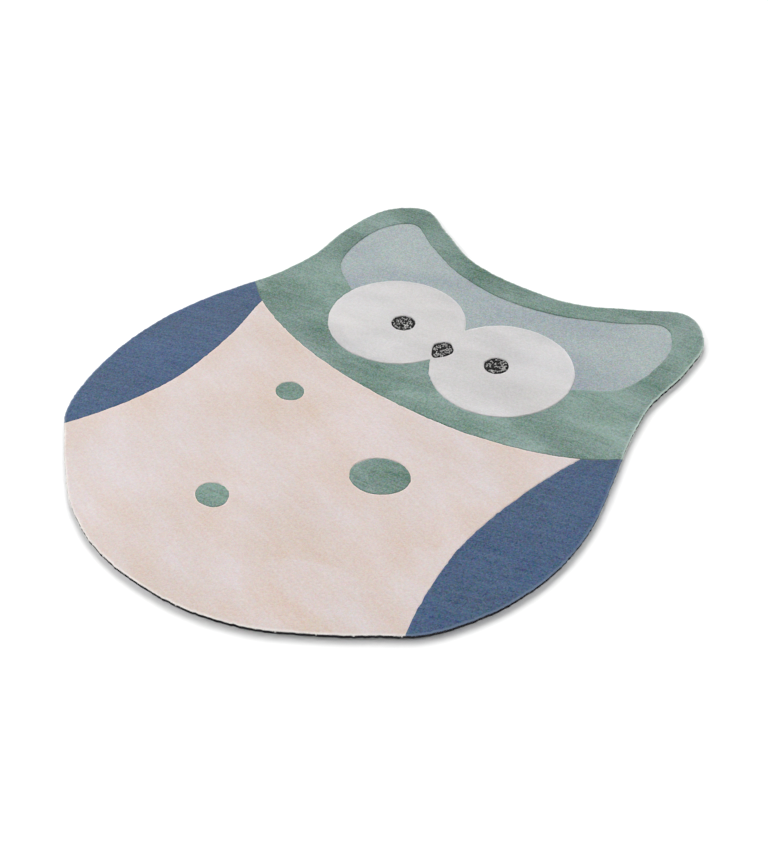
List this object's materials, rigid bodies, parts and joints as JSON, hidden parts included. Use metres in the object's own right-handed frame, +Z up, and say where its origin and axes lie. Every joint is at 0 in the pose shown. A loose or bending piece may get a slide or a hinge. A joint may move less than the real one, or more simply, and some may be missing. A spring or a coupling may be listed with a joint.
{
  "type": "owl shaped kids rug",
  "caption": "Flat hand-tufted kids rug in the outline of an owl, with sheared wool pile in soft colour fields on a dark backing cloth.",
  "frame": {"origin": "under the middle of the rug's outline, on the surface that it lies on", "axes": "+Y from the tail to the ear tufts, +X to the reader's right with the ears up, +Z up out of the pile"},
  "size_m": [1.41, 1.7, 0.012],
  "materials": {
    "pile_blush": "sheared wool cut pile, matt, soft blush",
    "pile_sage": "sheared wool cut pile, matt, sage green",
    "pile_blue": "sheared wool cut pile, matt, denim blue",
    "pile_grey_blue": "low wool loop pile, matt, pale grey blue with a fine fleck",
    "pile_off_white": "sheared wool cut pile, matt, off white",
    "pile_black_fleck": "wool loop pile, black with pale flecks",
    "backing_black": "near-black woven cotton backing cloth, matt"
  },
  "bodies": {
    "root": {"tufted_pile": "pile_blush", "backing_cloth": "backing_black"}
  },
  "joints": []
}
